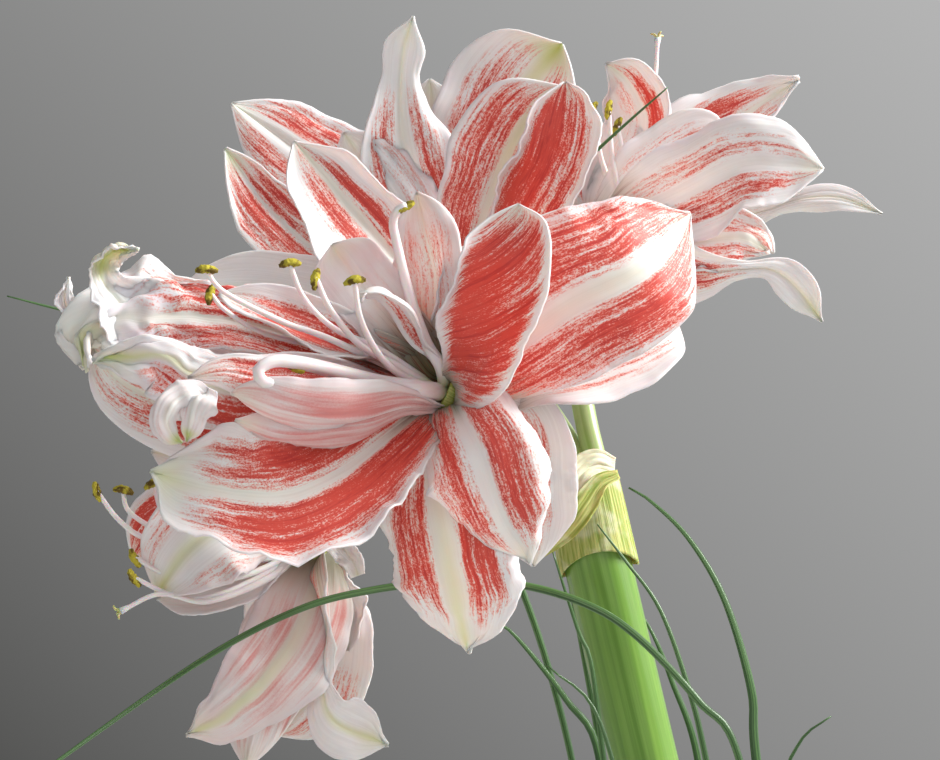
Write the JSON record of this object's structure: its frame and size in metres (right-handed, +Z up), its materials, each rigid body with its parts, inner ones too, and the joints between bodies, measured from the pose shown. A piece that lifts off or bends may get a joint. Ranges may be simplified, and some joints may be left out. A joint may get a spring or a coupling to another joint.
{
  "type": "potted amaryllis",
  "caption": "Potted amaryllis in bloom: large double striped flowers with twisted petals on a stout scape, with a bulb, strap leaves and fine grass in a plain tapered pot.",
  "frame": {"origin": "middle of the pot's flat base", "axes": "+Z up, along the pot's axis; -Y is the side that is looked at in the reference view, +X to its right"},
  "size_m": [0.385, 0.2474, 0.7032],
  "materials": {
    "glazed_clay": "satin glaze",
    "potting_soil": "rough and crumbly",
    "bulb_skin": "dry and papery",
    "scape_green": "smooth and waxy",
    "papery_bract": "dry and ribbed",
    "petal_tissue": "soft and satin",
    "leaf_green": "smooth and waxy",
    "grass_green": "matt"
  },
  "bodies": {
    "root": {"pot": "glazed_clay", "soil": "potting_soil", "bulb": "bulb_skin", "scape": "scape_green", "spathe": "papery_bract", "bloom_front": "petal_tissue", "bloom_top": "petal_tissue", "bloom_right": "petal_tissue", "bloom_low": "petal_tissue", "leaf_right": "leaf_green", "leaf_left": "leaf_green", "leaf_back": "leaf_green", "leaf_front": "leaf_green", "grass_right": "grass_green", "grass_front": "grass_green", "grass_rear": "grass_green"}
  },
  "joints": []
}
